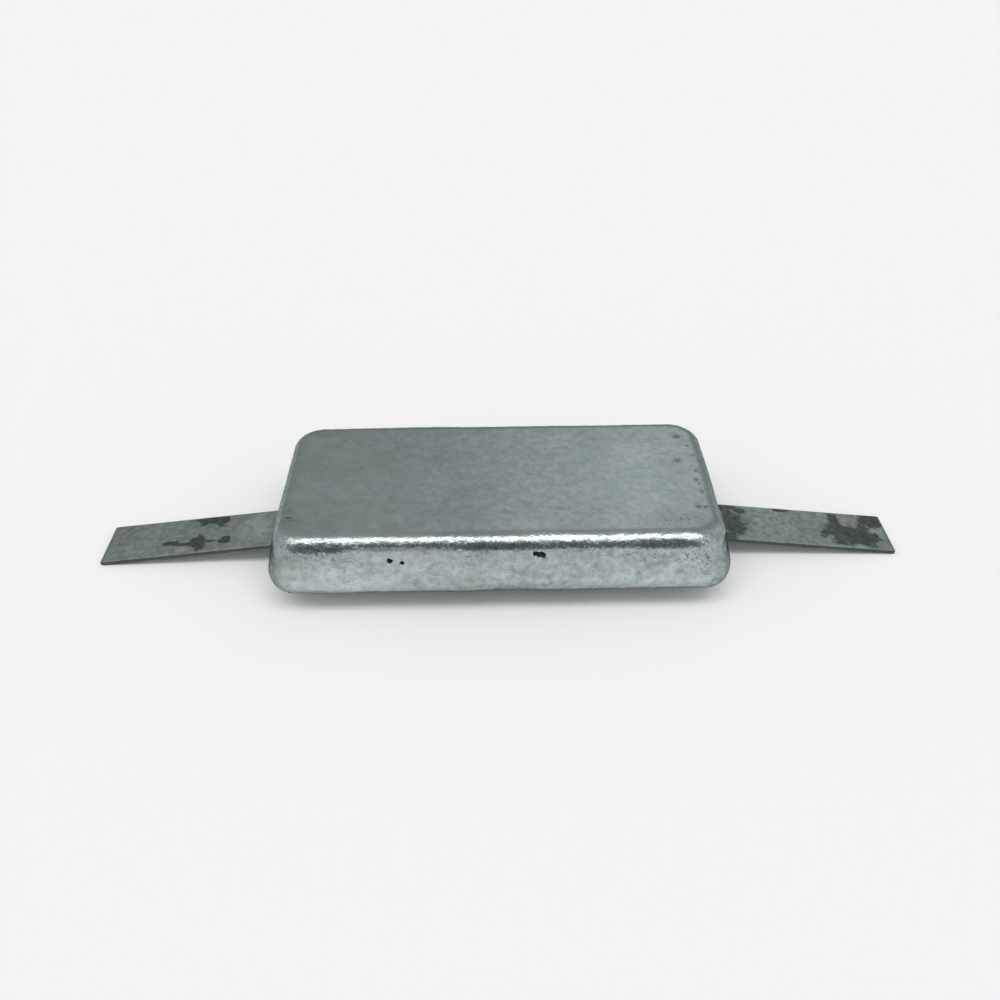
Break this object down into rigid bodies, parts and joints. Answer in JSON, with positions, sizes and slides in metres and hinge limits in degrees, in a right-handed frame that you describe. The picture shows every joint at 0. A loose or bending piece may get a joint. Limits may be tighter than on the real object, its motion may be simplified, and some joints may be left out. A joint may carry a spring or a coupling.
{
  "type": "sacrificial anode",
  "caption": "Weld-on hull anode: a drafted, round-edged cast zinc slab on a flat galvanised steel strap whose bent ends are welded to the hull and hold the slab off it.",
  "frame": {"origin": "on the hull plane, under the middle of the slab, at the height of the strap tips' lower edges", "axes": "+X along the strap, +Y across the slab, +Z away from the hull"},
  "size_m": [0.5504, 0.15, 0.0573],
  "materials": {
    "cast_zinc": "as-cast zinc, bright grey and cloudy, satin to glossy",
    "galvanised_steel": "weathered galvanised coat, dull grey with dark patches"
  },
  "bodies": {
    "root": {"zinc_casting": "cast_zinc", "steel_strap": "galvanised_steel"}
  },
  "joints": []
}
